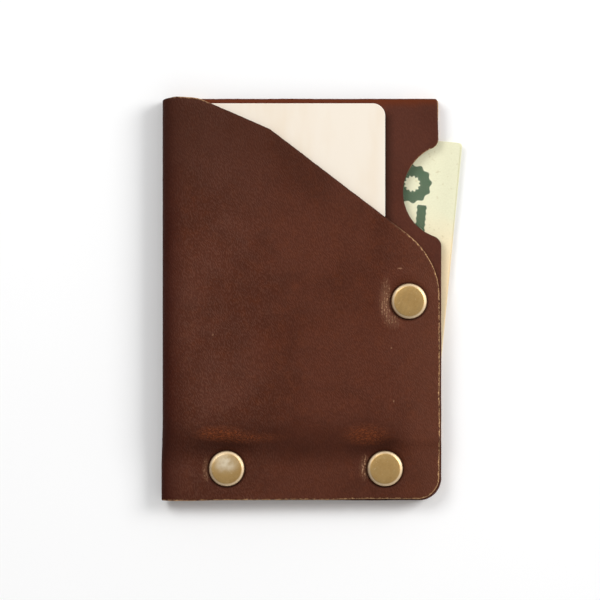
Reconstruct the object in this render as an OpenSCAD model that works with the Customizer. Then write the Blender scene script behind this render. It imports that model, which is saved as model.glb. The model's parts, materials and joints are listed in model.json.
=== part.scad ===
// Minimalist leather wallet: a folded leather wrap, a divider with a thumb notch,
// three double-cap rivets, one card and one folded banknote.
// It lies on its back. X runs across it, Y up it, Z through its thickness.
// The origin is the centre of the back panel's outer face.

/* [Leather] */
// Width from the spine fold to the open edge
body_w = 71.5; // [71:0.5:76]
// Height from the bottom edge to the top edge
body_h = 103; // [102:0.5:108]
// Thickness of every leather layer
leather_t = 1.6; // [1.2:0.1:1.8]
// Height of the banknote pocket, behind the divider
note_gap = 1.5; // [1.4:0.1:2]
// Height of the card pocket, in front of the divider
card_gap = 1; // [1:0.1:2]
// Radius of the free corner at the bottom
corner_r = 5.7; // [3:0.1:6.5]
// How far the divider and back panel stand proud of the front panel
layer_step = 0.5; // [0:0.1:0.8]

/* [Pocket mouth] */
// Where the front panel's top edge starts to fall, from the spine
mouth_start = 8.5; // [6:0.5:12]
// Slope of the first stretch of the pocket mouth, in degrees
mouth_slope_1 = 22.3; // [18:0.5:26]
// Length of the first stretch, measured across the wallet
mouth_run_1 = 19; // [16:0.5:22]
// Slope of the second stretch, in degrees
mouth_slope_2 = 37.4; // [34:0.5:40]
// Radius of the shoulder where the mouth meets the open edge
shoulder_r = 20.5; // [12:0.5:22]

/* [Thumb notch] */
// Radius of the round cut in the divider's open edge
notch_r = 12; // [8:0.5:12.5]
// Height of the notch's centre above the middle of the wallet
notch_y = 27.5; // [24:0.5:30]
// How far the notch's centre lies outside the open edge
notch_out = 2.2; // [1:0.1:4]
// Radius that eases the notch into the edge
notch_ease_r = 2.8; // [1:0.1:4]

/* [Rivets] */
// Diameter of a rivet cap
cap_d = 9.1; // [8:0.1:9.5]
// Height of a front cap above its seat
cap_h = 1.4; // [1.3:0.1:1.6]
// Height of a back cap above its seat
back_cap_h = 1.2; // [1.1:0.1:1.2]
// Depth that a cap is pressed into the leather
cap_sink = 0.3; // [0.1:0.05:0.4]
// Diameter of the socket's tube, which the leather closes on
tube_d = 3; // [2.6:0.1:3.2]
// Distance of the bottom rivets from the bottom edge
rivet_low = 8.2; // [8:0.1:9]
// Distance of the side rivet from the open edge
rivet_side = 8.3; // [8:0.1:9]

/* [Contents] */
// Slide of the card out of its pocket, to look at it
card_out = 0; // [0:1:90]
// Slide of the banknote out of its pocket, to look at it
note_out = 0; // [0:1:90]
// Tilt of the banknote in its pocket, in degrees
note_tilt = 5.2; // [4.5:0.1:5.5]

/* [Hidden] */

// Edges of the body
left = -body_w / 2;
right = body_w / 2;
top = body_h / 2;
bottom = -body_h / 2;
front_right = right - layer_step;
front_bottom = bottom + layer_step;
top_corner_r = 0.8;
back_lean = 0.8;
divider_lean = 1.2;
divider_inset = 2.5;
divider_corner_r = 0.5;
mouth_start_r = 13;
mouth_bend_r = 6;

// Reach of the shapes that are trimmed, and of the cuts that run past the leather
far = 200;
cut_h = 20;
cut_over = 1;

// The card is the ISO ID-1 size, held upright
card_w = 53.98;
card_l = 85.6;
card_t = 0.76;
card_r = 3.18;
card_show = 1.2;
card_inset = 3.1;
card_top = top - card_show;
card_bottom = card_top - card_l;
card_left = left + card_inset;
card_right = card_left + card_w;
pocket_play = 0.1;

// The banknote is a 150 x 66 mm sheet folded once
note_w = 66;
note_l = 75;
note_leaf = 0.11;
note_space = 0.1;
note_show = 5;
note_top = 40.3;
note_corner = [right + note_show, note_top];

// Heights of the layers where the pockets are open: each is the layer's lower face
divider_z = leather_t + note_gap;
divider_top = divider_z + leather_t;
front_z = divider_top + card_gap;

// The riveted foot, where the layers are pinched together and stand on the back caps
foot_z = back_cap_h - cap_sink;
foot_divider_z = foot_z + leather_t;
foot_front_z = foot_divider_z + leather_t;
foot_y = bottom + rivet_low + cap_d / 2;
foot_run = 3.2;
back_delay = 0.4;
spine_spread = 0.3;

// The spine fold
fold_r = 3.1;
fold_flat = 0.15;
fold_steps = 8;

// The front panel steps down to the divider beside the card
step_play = 0.5;
step_x = card_right + step_play;
step_run = 2;
ramp_steps = 6;

// Rivet places and details
left_rivet = [-19.3, bottom + rivet_low];
right_rivet = [21.3, bottom + rivet_low];
side_rivet = [right - rivet_side, -0.4];
cap_r = cap_d / 2;
sheet_t = 0.28;
flange_t = 0.2;
flange_play = 0.05;
rim_play = 0.14;
lip_w = 0.9;
lip_bevel = 0.14;
crown = 0.15;
crown_steps = 4;
shoulder_w = 0.72;
shoulder_steps = 5;
seat_play = 0.15;
hole_play = 0.1;
tube_t = 0.35;
tube_short = 0.1;
post_play = 0.04;
head_r = 1.9;
head_t = 0.35;
round_fn = 72;
fold_fn = 12;
notch_fn = 32;
ease_fn = 8;

leather_colour = [0.33, 0.18, 0.14];
divider_colour = [0.34, 0.2, 0.16];
antique_colour = [0.66, 0.54, 0.35];
brass_colour = [0.74, 0.62, 0.36];
card_colour = [0.97, 0.93, 0.86];
note_colour = [0.92, 0.91, 0.78];

// ---- Helpers ----

// A smooth rise from 0 to 1 as t goes from 0 to 1
function ease(t) = t <= 0 ? 0 : t >= 1 ? 1 : (1 - cos(180 * t)) / 2;

// Points of an arc about c, from angle a0 to angle a1
function arc(c, r, a0, a1, n) =
    [for (i = [0:n]) let (a = a0 + (a1 - a0) * i / n) c + r * [cos(a), sin(a)]];

function flat_list(lists) = [for (l = lists) for (p = l) p];

function unit(v) = v / norm(v);

// The points that round the corner b, between a and c, to radius r
function rounded_corner(a, b, c, r, n) =
    let (
        u = unit(a - b),
        v = unit(c - b),
        half = acos(max(-1, min(1, u * v))) / 2,
        centre = b + unit(u + v) * r / sin(half),
        start = b + u * r / tan(half),
        end = b + v * r / tan(half),
        a0 = atan2(start.y - centre.y, start.x - centre.x),
        turn = atan2(end.y - centre.y, end.x - centre.x) - a0,
        sweep = turn > 180 ? turn - 360 : turn < -180 ? turn + 360 : turn
    )
    arc(centre, r, a0, a0 + sweep, n);

// A closed outline from corners [x, y, radius]
function rounded_outline(corners, n = 12) =
    let (count = len(corners))
    flat_list([
        for (i = [0:count - 1])
            let (
                a = corners[(i + count - 1) % count],
                b = corners[i],
                c = corners[(i + 1) % count]
            )
            b[2] == 0 ? [[b.x, b.y]]
                : rounded_corner([a.x, a.y], [b.x, b.y], [c.x, c.y], b[2], n)
    ]);

// A solid through sections, each a list of the same number of points
module loft(sections) {
    n = len(sections[0]);
    m = len(sections);
    sides = [
        for (j = [0:m - 2]) for (i = [0:n - 1])
            let (a = j * n + i, b = j * n + (i + 1) % n)
            each [[a, b + n, b], [a, a + n, b + n]]
    ];
    first = [for (i = [0:n / 2 - 2]) each [[i, i + 1, n - 1 - i], [i + 1, n - 2 - i, n - 1 - i]]];
    last = [for (f = first) [for (i = [2:-1:0]) f[i] + (m - 1) * n]];
    polyhedron(flat_list(sections), concat(sides, first, last));
}

// ---- Leather ----

// Heights up the wallet where the layers change slope, between the foot and the pockets
stations = concat(
    [-far],
    [for (i = [0:ramp_steps]) foot_y + (foot_run + back_delay) * i / ramp_steps],
    [far]
);

// 1 in the open pockets and 0 in the riveted foot, at height y up the wallet
function open_at(y) = ease((y - foot_y) / foot_run);

// The wrap's section at y: round the outside from the back edge to the front
// edge, then back along the inside
function wrap_section(y) =
    let (
        open = open_at(y),
        back = foot_z * (1 - open_at(y - back_delay)),
        front = foot_front_z + leather_t + (front_z - foot_front_z) * open,
        edge = foot_front_z + leather_t + (divider_top - foot_front_z) * open,
        r = min(fold_r, (front - back) / 2 - fold_flat),
        x = left - spine_spread * (1 - open) + r,
        outer = concat(
            [[far, back]],
            arc([x, back + r], r, 270, 180, fold_steps),
            arc([x, front - r], r, 180, 90, fold_steps),
            [
                for (i = [0:ramp_steps])
                    [step_x + step_run * i / ramp_steps, front + (edge - front) * ease(i / ramp_steps)]
            ],
            [[far, edge]]
        ),
        inner = concat(
            [[far, edge - leather_t]],
            [
                for (i = [ramp_steps:-1:0])
                    [
                        step_x + step_run * i / ramp_steps,
                        front - leather_t + (edge - front) * ease(i / ramp_steps)
                    ]
            ],
            arc([x, front - r], r - leather_t, 90, 180, fold_steps),
            arc([x, back + r], r - leather_t, 180, 270, fold_steps),
            [[far, back + leather_t]]
        )
    )
    [for (p = concat(outer, inner)) [p.x, y, p[1]]];

// Front panel: the mouth falls in two slopes to a round shoulder
module front_outline() {
    x1 = left + mouth_start;
    x2 = x1 + mouth_run_1;
    y2 = top - mouth_run_1 * tan(mouth_slope_1);
    y3 = y2 - (front_right - x2) * tan(mouth_slope_2);
    polygon(rounded_outline([
        [-far, top, 0],
        [x1, top, mouth_start_r],
        [x2, y2, mouth_bend_r],
        [front_right, y3, shoulder_r],
        [front_right, front_bottom, corner_r],
        [-far, front_bottom, 0]
    ]));
}

module back_outline() {
    polygon(rounded_outline([
        [-far, top, 0],
        [right - back_lean, top, top_corner_r],
        [right, bottom, corner_r],
        [-far, bottom, 0]
    ]));
}

module divider_outline() {
    edge = left + divider_inset;
    difference() {
        polygon(rounded_outline([
            [edge, top, divider_corner_r],
            [right - divider_lean, top, top_corner_r],
            [right, notch_y - notch_r, 0],
            [right, bottom, corner_r],
            [edge, bottom, divider_corner_r]
        ]));
        thumb_notch();
    }
}

// The round cut, with an easing arc where it leaves the open edge at each end
module thumb_notch() {
    centre = [right + notch_out, notch_y];
    ease_x = right - notch_ease_r;
    reach = sqrt(pow(notch_r + notch_ease_r, 2) - pow(centre.x - ease_x, 2));
    ease_angle = atan2(reach, centre.x - ease_x);
    upper = [ease_x, notch_y + reach];
    lower = [ease_x, notch_y - reach];
    polygon(concat(
        [[far, upper.y]],
        arc(upper, notch_ease_r, 0, -ease_angle, ease_fn),
        arc(centre, notch_r, 180 - ease_angle, 180 + ease_angle, notch_fn),
        arc(lower, notch_ease_r, ease_angle, 0, ease_fn),
        [[far, lower.y]]
    ));
}

// What lies outside an outline, from height z0 to z1
module trim_to(z0, z1) {
    translate([0, 0, z0])
        linear_extrude(z1 - z0)
            difference() {
                square(3 * far, center = true);
                children();
            }
}

// A hole for a socket's tube, upwards from height z
module tube_hole(place, z) {
    translate([place.x, place.y, z])
        cylinder(h = cut_h, d = tube_d + 2 * hole_play, $fn = round_fn);
}

// The seat that a cap presses in the leather, upwards from height z
module cap_seat(place, z) {
    translate([place.x, place.y, z])
        cylinder(h = cut_h, r = cap_r + seat_play, $fn = round_fn);
}

foot_back_seat = foot_z + cap_sink;
foot_front_seat = foot_front_z + leather_t - cap_sink;
side_back_seat = divider_z + cap_sink;
side_front_seat = divider_top + leather_t - cap_sink;

module leather_wrap() {
    middle = divider_z + leather_t / 2;
    color(leather_colour)
        difference() {
            loft([for (y = stations) wrap_section(y)]);
            trim_to(middle, cut_h) front_outline();
            trim_to(-cut_over, middle) back_outline();
            for (place = [left_rivet, right_rivet]) {
                tube_hole(place, -cut_over);
                cap_seat(place, foot_back_seat - cut_h);
                cap_seat(place, foot_front_seat);
            }
            tube_hole(side_rivet, middle);
            cap_seat(side_rivet, side_front_seat);
        }
}

// The divider's side view: flat in the pockets, and lower in the foot
module divider_side() {
    lower = [for (y = stations) [y, foot_divider_z + (divider_z - foot_divider_z) * open_at(y)]];
    upper = [for (i = [len(lower) - 1:-1:0]) lower[i] + [0, leather_t]];
    polygon(concat(lower, upper));
}

module divider_panel() {
    color(divider_colour)
        difference() {
            intersection() {
                translate([-far, 0, 0])
                    rotate([90, 0, 90])
                        linear_extrude(2 * far)
                            divider_side();
                linear_extrude(cut_h)
                    divider_outline();
            }
            for (place = [left_rivet, right_rivet, side_rivet])
                tube_hole(place, -cut_over);
            cap_seat(side_rivet, side_back_seat - cut_h);
        }
}

// ---- Double-cap rivets. Each seat is at z = 0 and the cap points up. ----

// A pressed cap: a low crown, a rounded shoulder and a lip rolled under the flange
module rivet_cap(h) {
    flat_r = cap_r - shoulder_w;
    shoulder = h - crown - sheet_t;
    rotate_extrude($fn = round_fn)
        polygon(concat(
            [[0, h]],
            [
                for (i = [1:crown_steps])
                    [flat_r * i / crown_steps, h - crown * pow(i / crown_steps, 2)]
            ],
            [
                for (i = [1:shoulder_steps])
                    let (a = 90 * (1 - i / shoulder_steps))
                    [flat_r + shoulder_w * cos(a), h - crown - shoulder_w * (1 - sin(a))]
            ],
            [
                [cap_r, lip_bevel],
                [cap_r - lip_bevel, 0],
                [cap_r - lip_w, 0],
                [cap_r - lip_w, flange_t],
                [cap_r - sheet_t, flange_t],
                [cap_r - sheet_t, h - crown - shoulder_w],
                [flat_r, shoulder],
                [0, h - sheet_t]
            ]
        ));
}

// A flange held by the cap's lip, bored to r_in and reaching out to the cap's wall
module flange(r_in) {
    translate([0, 0, flange_t + flange_play / 2])
        difference() {
            cylinder(h = flange_t, r = cap_r - sheet_t - rim_play, $fn = round_fn);
            translate([0, 0, -cut_over])
                cylinder(h = cut_h, r = r_in, $fn = round_fn);
        }
}

// The socket: a flanged tube that reaches down through the leather
module rivet_socket(grip) {
    bore_r = tube_d / 2 - tube_t;
    length = grip - tube_short;
    union() {
        flange(bore_r);
        translate([0, 0, -length])
            difference() {
                cylinder(h = length + 1.5 * flange_t, d = tube_d, $fn = round_fn);
                translate([0, 0, -cut_over])
                    cylinder(h = cut_h, r = bore_r, $fn = round_fn);
            }
    }
}

// The post, from the back cap's flange up through the socket to its peened head.
// Its seat is the leather's back face, and grip is the thickness it holds.
module rivet_post(grip) {
    shank_r = tube_d / 2 - tube_t - post_play;
    base = -2 * flange_t - flange_play / 2;
    head = grip + 2 * flange_t + flange_play;
    union() {
        translate([0, 0, base])
            cylinder(h = flange_t, r = cap_r - sheet_t - rim_play, $fn = round_fn);
        translate([0, 0, base])
            cylinder(h = head - base + head_t / 2, r = shank_r, $fn = round_fn);
        translate([0, 0, head])
            cylinder(h = head_t, r = head_r, $fn = round_fn);
    }
}

module front_cap_at(place, seat) {
    color(antique_colour)
        translate([place.x, place.y, seat])
            rivet_cap(cap_h);
}

module back_cap_at(place, seat) {
    color(antique_colour)
        translate([place.x, place.y, seat])
            mirror([0, 0, 1])
                rivet_cap(back_cap_h);
}

module socket_at(place, back_seat, front_seat) {
    color(brass_colour)
        translate([place.x, place.y, front_seat])
            rivet_socket(front_seat - back_seat);
}

module post_at(place, back_seat, front_seat) {
    color(brass_colour)
        translate([place.x, place.y, back_seat])
            rivet_post(front_seat - back_seat);
}

// ---- Contents ----

module card() {
    color(card_colour)
        translate([0, card_out, divider_top + pocket_play])
            linear_extrude(card_t)
                polygon(rounded_outline([
                    [card_left, card_bottom, card_r],
                    [card_right, card_bottom, card_r],
                    [card_right, card_top, card_r],
                    [card_left, card_top, card_r]
                ]));
}

// The folded sheet from the side: two leaves, open at the top, round the fold
module note_side() {
    r_in = note_space / 2;
    r_out = r_in + note_leaf;
    centre = [r_out, r_out];
    polygon(concat(
        [[note_l, 2 * r_out]],
        arc(centre, r_out, 90, 270, fold_fn),
        [[note_l, 0], [note_l, note_leaf]],
        arc(centre, r_in, 270, 90, fold_fn),
        [[note_l, note_leaf + note_space]]
    ));
}

module banknote() {
    along = [sin(note_tilt), cos(note_tilt), 0];
    color(note_colour)
        translate([note_corner.x, note_corner.y, leather_t + pocket_play] + note_out * along)
            rotate([0, 0, -note_tilt])
                translate([-note_w, -note_l, 0])
                    rotate([90, 0, 90])
                        linear_extrude(note_w)
                            note_side();
}

leather_wrap();
divider_panel();
front_cap_at(left_rivet, foot_front_seat);  // left_rivet_front_cap
socket_at(left_rivet, foot_back_seat, foot_front_seat);  // left_rivet_socket
post_at(left_rivet, foot_back_seat, foot_front_seat);  // left_rivet_post
back_cap_at(left_rivet, foot_back_seat);  // left_rivet_back_cap
front_cap_at(right_rivet, foot_front_seat);  // right_rivet_front_cap
socket_at(right_rivet, foot_back_seat, foot_front_seat);  // right_rivet_socket
post_at(right_rivet, foot_back_seat, foot_front_seat);  // right_rivet_post
back_cap_at(right_rivet, foot_back_seat);  // right_rivet_back_cap
front_cap_at(side_rivet, side_front_seat);  // side_rivet_front_cap
socket_at(side_rivet, side_back_seat, side_front_seat);  // side_rivet_socket
post_at(side_rivet, side_back_seat, side_front_seat);  // side_rivet_post
back_cap_at(side_rivet, side_back_seat);  // side_rivet_back_cap
card();
banknote();
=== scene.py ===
"""Looks of the minimalist leather wallet, with its brass rivets, its card and its folded note.

Lengths are in millimetres until a mesh is made. The wallet lies on its back, with its front up.
"""
import json
import math

import bpy
import numpy as np
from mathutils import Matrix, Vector, noise
from mathutils.geometry import delaunay_2d_cdt


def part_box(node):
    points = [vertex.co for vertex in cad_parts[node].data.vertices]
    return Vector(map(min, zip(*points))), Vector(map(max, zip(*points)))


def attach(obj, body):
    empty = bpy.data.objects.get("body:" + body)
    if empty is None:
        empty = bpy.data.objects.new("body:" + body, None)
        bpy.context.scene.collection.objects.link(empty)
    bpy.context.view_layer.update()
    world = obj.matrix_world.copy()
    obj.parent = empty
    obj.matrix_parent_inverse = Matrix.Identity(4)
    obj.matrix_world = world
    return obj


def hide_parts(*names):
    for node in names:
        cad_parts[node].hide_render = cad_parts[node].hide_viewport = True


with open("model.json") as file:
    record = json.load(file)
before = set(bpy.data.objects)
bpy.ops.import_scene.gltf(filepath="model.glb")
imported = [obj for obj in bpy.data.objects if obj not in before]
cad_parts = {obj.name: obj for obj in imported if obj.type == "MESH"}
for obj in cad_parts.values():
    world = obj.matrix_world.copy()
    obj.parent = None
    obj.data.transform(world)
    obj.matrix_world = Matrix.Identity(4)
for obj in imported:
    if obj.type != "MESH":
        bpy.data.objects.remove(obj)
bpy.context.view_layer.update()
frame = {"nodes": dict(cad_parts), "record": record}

MM = 0.001


# ---- Sizes, from the frame ----

def box_mm(node):
    """A CAD node's lowest and highest corners, in millimetres."""
    low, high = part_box(node)
    return Vector(low) / MM, Vector(high) / MM


wrap_low, wrap_high = box_mm("leather_wrap")
divider_low, divider_high = box_mm("divider_panel")
card_low, card_high = box_mm("card")
note_low, note_high = box_mm("banknote")

# The leather's thickness, the front panel's setback from the other layers, and the corners' radius
LEATHER = 1.6
LAYER_STEP = 0.5
CORNER_R = 5.7
RIGHT = divider_high.x
LEFT = -RIGHT
TOP = divider_high.y
BOTTOM = divider_low.y
FRONT_RIGHT = RIGHT - LAYER_STEP
FRONT_BOTTOM = BOTTOM + LAYER_STEP

# The layers' lower faces, in the open pockets and in the riveted foot
FRONT_Z = wrap_high.z - LEATHER
DIVIDER_Z = divider_high.z - LEATHER
FOOT_DIVIDER_Z = divider_low.z
FOOT_FRONT_Z = FOOT_DIVIDER_Z + LEATHER
FOOT_BACK_Z = FOOT_DIVIDER_Z - LEATHER

# How much further out the spine lies in the foot
SPINE_SPREAD = LEFT - wrap_low.x


def rivet(name):
    """A rivet's centre, its radius, its two seats and the heights of its caps."""
    low, high = box_mm(name + "_rivet_front_cap")
    back_low, back_high = box_mm(name + "_rivet_back_cap")
    return {
        "name": name, "x": (low.x + high.x) / 2, "y": (low.y + high.y) / 2, "r": (high.x - low.x) / 2,
        "front_seat": low.z, "front_top": high.z, "back_seat": back_high.z, "back_top": back_low.z,
    }


front_rivets = tuple(rivet(name) for name in ("left", "right", "side"))
left_rivet, right_rivet, side_rivet = front_rivets
foot_rivets = (left_rivet, right_rivet)

# The pockets open above the foot, over a short run, and the back panel follows a little later
FOOT_Y = left_rivet["y"] + left_rivet["r"]
FOOT_RUN = 3.2
BACK_DELAY = 0.4

# Where the front panel steps down beside the card, and its mesh is finer
STEP_X = card_high.x + 0.5
STEP_RUN = 2.0

# The spine fold's outer radius, in the pockets and in the foot
FOLD_R = 3.1
FOOT_FOLD_R = 2.25
FOLD_X = LEFT + FOLD_R

# The rivets' holes, and how deep the front caps sit in the leather
TUBE_HOLE_R = 1.6
SINK = FOOT_FRONT_Z + LEATHER - left_rivet["front_seat"]

# The note tilts with its slide. Its corner is the free one at the right
joints = {joint["name"]: joint for joint in frame["record"]["behaviour"]["joints"]}
note_axis = joints["banknote_slide"]["axis"]
NOTE_TILT = math.atan2(note_axis[0], note_axis[1])
NOTE_W = 66.0
NOTE_L = 75.0
NOTE_CORNER = Vector((note_high.x, note_high.y - NOTE_W * math.sin(NOTE_TILT)))


# ---- Outlines ----

def smooth(t):
    """Rises smoothly from 0 to 1 as t goes from 0 to 1."""
    t = min(max(t, 0.0), 1.0)
    return (1 - math.cos(math.pi * t)) / 2


def arc(cx, cy, r, start, end, spacing=0.4):
    """Points of an arc, with its angles in radians."""
    count = max(3, int(abs(end - start) * r / spacing))
    angles = [start + (end - start) * i / count for i in range(count + 1)]
    return [(cx + r * math.cos(a), cy + r * math.sin(a)) for a in angles]


def rounded(before, corner, after, r):
    """The arc that rounds a corner to radius r."""
    b = Vector(corner)
    u, v = (Vector(before) - b).normalized(), (Vector(after) - b).normalized()
    half = math.acos(max(-1.0, min(1.0, u.dot(v)))) / 2
    centre = b + (u + v).normalized() * r / math.sin(half)
    first, last = b + u * r / math.tan(half) - centre, b + v * r / math.tan(half) - centre
    start = math.atan2(first.y, first.x)
    sweep = (math.atan2(last.y, last.x) - start + math.pi) % (2 * math.pi) - math.pi
    return arc(centre.x, centre.y, r, start, start + sweep)


def outline(corners):
    """A closed outline from corners (x, y, radius)."""
    points = []
    for i, (x, y, r) in enumerate(corners):
        before, after = corners[i - 1][:2], corners[(i + 1) % len(corners)][:2]
        points += rounded(before, (x, y), after, r) if r else [(x, y)]
    return points


def rectangle(low_x, low_y, high_x, high_y, r):
    """An outline with four equal corners."""
    return outline([(low_x, low_y, r), (high_x, low_y, r), (high_x, high_y, r), (low_x, high_y, r)])


def resample(points, spacing):
    """The same closed outline with points no further apart than spacing."""
    out = []
    for a, b in zip(points, points[1:] + points[:1]):
        a, b = Vector(a), Vector(b)
        count = max(1, math.ceil((b - a).length / spacing))
        if (b - a).length > 1e-4:
            out += [tuple(a.lerp(b, i / count)) for i in range(count)]
    return out


def hand_cut(points, amount, seed):
    """The outline as a knife leaves it, up to about amount off the straight. seed picks the wander."""
    out = []
    for i, (x, y) in enumerate(points):
        ahead, behind = Vector(points[(i + 1) % len(points)]), Vector(points[i - 1])
        along = (ahead - behind).normalized()
        off = amount * noise.noise(Vector((x * 0.11, y * 0.11, seed)))
        off += 0.3 * amount * noise.noise(Vector((x * 0.7, y * 0.7, seed + 9)))
        out.append((x + along.y * off, y - along.x * off))
    return out


def circle(x, y, r):
    """A hole, which runs clockwise so that its inside is the leather."""
    return arc(x, y, r, 2 * math.pi, 0, 0.35)[:-1]


# ---- Sheets: flat outlines mapped onto a surface, with thickness and worked edges ----

# Where the rings of points inside an edge lie, in parts of the edge's radius
EDGE_STEPS = (0.0, 0.16, 0.45, 1.0, 1.5)

# How far apart points lie along a cut edge, and how near the fill comes to it
EDGE_SPACING = 0.55
FILL_GAP = 0.32


def inside(points, loop):
    """Which points are inside a closed loop."""
    x, y = points[:, 0], points[:, 1]
    odd = np.zeros(len(points), bool)
    for (x0, y0), (x1, y1) in zip(loop, np.roll(loop, -1, axis=0)):
        if y0 != y1:
            odd ^= ((y0 > y) != (y1 > y)) & (x < (x1 - x0) * (y - y0) / (y1 - y0) + x0)
    return odd


def within(points, loops):
    """Which points are inside the outline and outside the holes."""
    keep = inside(points, loops[0])
    for hole in loops[1:]:
        keep &= ~inside(points, hole)
    return keep


def inset(loop, distance):
    """A loop moved to its left, which is inwards for an outline and outwards for a hole."""
    ahead, behind = np.roll(loop, -1, axis=0), np.roll(loop, 1, axis=0)
    along = ahead - behind
    along /= np.linalg.norm(along, axis=1)[:, None]
    return loop + distance * np.stack([-along[:, 1], along[:, 0]], axis=1)


def outward(loop, i):
    """The direction out of the sheet at a loop's point."""
    along = loop[(i + 1) % len(loop)] - loop[i - 1]
    along = along / np.linalg.norm(along)
    return np.array([along[1], -along[0]])


def far_from(points, loops, distance):
    """Which points are at least that far from every loop's points."""
    clear = np.ones(len(points), bool)
    for loop in loops:
        for start in range(0, len(loop), 64):
            gap = np.linalg.norm(points[:, None] - loop[None, start:start + 64], axis=2)
            clear &= gap.min(axis=1) > distance
    return clear


def sheet(name, loops, fill, place, thickness, edge_r, roughness=0.0, wall_rows=3):
    """A sheet of material as a closed mesh.

    loops are its outline, counterclockwise, and its holes, clockwise. fill holds the points between them.
    place(u, v, h) gives the point at height h above the sheet's middle. The cut edge is rounded to edge_r
    and roughened by up to roughness. The attribute "edge" is 0 on the faces and 1 on the cut edge.
    """
    loops = [np.array(loop) for loop in loops]
    rings = [[inset(loop, step * edge_r) for step in EDGE_STEPS] for loop in loops]
    border = [ring[-1] for ring in rings]
    fill = np.array(fill)
    keep = within(fill, loops) & far_from(fill, border, FILL_GAP)
    flat = np.concatenate([ring for group in rings for ring in group] + [fill[keep]])
    depth = np.concatenate(
        [np.full(len(ring), step * edge_r) for group in rings for step, ring in zip(EDGE_STEPS, group)]
        + [np.full(keep.sum(), edge_r)])

    chains, start = [], 0
    for group in rings:
        for ring in group:
            count = len(ring)
            chains += [(start + i, start + (i + 1) % count) for i in range(count)]
            start += count
    found = delaunay_2d_cdt([Vector(p) for p in flat], chains, [], 0, 1e-5)
    spots = np.array([tuple(p) for p in found[0]])
    triangles = np.array(found[2])
    first = {new: olds[0] for new, olds in enumerate(found[3]) if olds}
    assert len(first) == len(spots), name + ": rings cross"
    triangles = triangles[within(spots[triangles].mean(axis=1), loops)]
    number = {old: new for new, old in first.items()}

    half = thickness / 2
    depth = np.minimum(depth, edge_r)
    drop = edge_r - np.sqrt(edge_r ** 2 - (edge_r - depth) ** 2)
    vertices, edge = [], []
    for side in (1, -1):
        for new in range(len(spots)):
            old = first[new]
            u, v = spots[new]
            vertices.append(place(u, v, side * (half - drop[old])))
            edge.append(1 - depth[old] / edge_r)
    total = len(spots)
    faces = [tuple(t) for t in triangles] + [tuple(total + i for i in t[::-1]) for t in triangles]

    start = 0
    for loop in loops:
        count = len(loop)
        top = [number[start + i] for i in range(count)]
        rows = [top]
        for row in range(1, wall_rows + 1):
            h = (half - edge_r) * (1 - 2 * row / (wall_rows + 1))
            rows.append(list(range(len(vertices), len(vertices) + count)))
            for i in range(count):
                rough = roughness * noise.noise(Vector((*(loop[i] * 2.3), h * 3 + start)))
                u, v = loop[i] + outward(loop, i) * rough
                vertices.append(place(u, v, h))
                edge.append(1.0)
        rows.append([total + i for i in top])
        for upper, lower in zip(rows, rows[1:]):
            for i in range(count):
                j = (i + 1) % count
                faces.append((upper[j], upper[i], lower[i], lower[j]))
        start += count * len(EDGE_STEPS)
    return make_mesh(name, vertices, faces, {"edge": edge})


def make_mesh(name, vertices, faces, attributes=None):
    """A smooth-shaded object from millimetres, with a float attribute per vertex for each name given."""
    mesh = bpy.data.meshes.new(name)
    mesh.from_pydata([Vector(v) * MM for v in vertices], [], faces)
    for key, values in (attributes or {}).items():
        mesh.attributes.new(key, "FLOAT", "POINT").data.foreach_set("value", values)
    mesh.shade_smooth()
    piece = bpy.data.objects.new(name, mesh)
    bpy.context.collection.objects.link(piece)
    return piece


def lines(start, end, spacing, fine=(), fine_spacing=0.35):
    """Grid lines from start to end, closer together inside each fine stretch (low, high)."""
    out, at = [], start
    while at < end:
        out.append(at)
        close = any(low - 0.2 <= at <= high for low, high in fine)
        at += fine_spacing if close else spacing
    return out + [end]


# Rings of points round each rivet's hole
RING_RADII = (2.0, 2.8, 3.6, 4.2, 4.6, 4.8, 5.0, 5.3, 5.7, 6.2, 6.8)
RING_POINTS = 56


def grid_with_rings(xs, ys, centres):
    """Grid points, with rings of points in place of the grid round each centre."""
    points = [(x, y) for x in xs for y in ys
              if all(math.hypot(x - cx, y - cy) > RING_RADII[-1] + 0.4 for cx, cy in centres)]
    for cx, cy in centres:
        for row, r in enumerate(RING_RADII):
            for i in range(RING_POINTS):
                a = 2 * math.pi * (i + 0.5 * (row % 2)) / RING_POINTS
                points.append((cx + r * math.cos(a), cy + r * math.sin(a)))
    return points


# ---- Leather ----

SPINE_LENGTH = math.pi * (FOLD_R - LEATHER / 2) + (FRONT_Z + LEATHER - 2 * FOLD_R)

# The runs over which the panels' x and the front's height ease into the fold
FOLD_EASE = 4.0
FOLD_BLEND = 8.0

# How deep the outer face sinks at the fold, and over what share of the spine
FOLD_SINK = 0.35
FOLD_SINK_SHARE = 0.35

# The hide's unevenness on the front and the back, and where it starts and grows beside a cap
SWELL = 0.1
BACK_SWELL = 0.05
CALM_REACH = 0.5
CALM_RUN = 5.0

# The lift along the pocket mouth: how high, how far below it, and its two ends with their runs
MOUTH_LIFT = 0.05
MOUTH_LIFT_RUN = 9.0
MOUTH_LIFT_LEFT = (-26.0, 12.0)
MOUTH_LIFT_RIGHT = (24.0, 10.0)

# The front falls into the foot, and off the card's long edge, in longer curves outside than inside.
# Each curve is where it starts and how far it runs.
OUTER_RAMP = (-43.3, 12.3)
INNER_RAMP = (-41.0, 5.3)
OUTER_STEP = (card_high.x - 2.0, 14.0)
INNER_STEP = (card_high.x + 0.2, 4.0)

# How far each rivet pulls the front down round it, on the outer face and on the inner face
PULL_RUN = {"left": (4.0, 4.0), "right": (4.0, 4.0), "side": (3.0, 1.2)}
SEAT_MARGIN = 0.1
SINK_RUN = 0.9


def open_at(y):
    """1 in the open pockets and 0 in the riveted foot."""
    return smooth((y - FOOT_Y) / FOOT_RUN)


def off_cap(spot, x, y):
    """Distance from a rivet cap's rim, negative under the cap."""
    return math.hypot(x - spot["x"], y - spot["y"]) - spot["r"]


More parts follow.
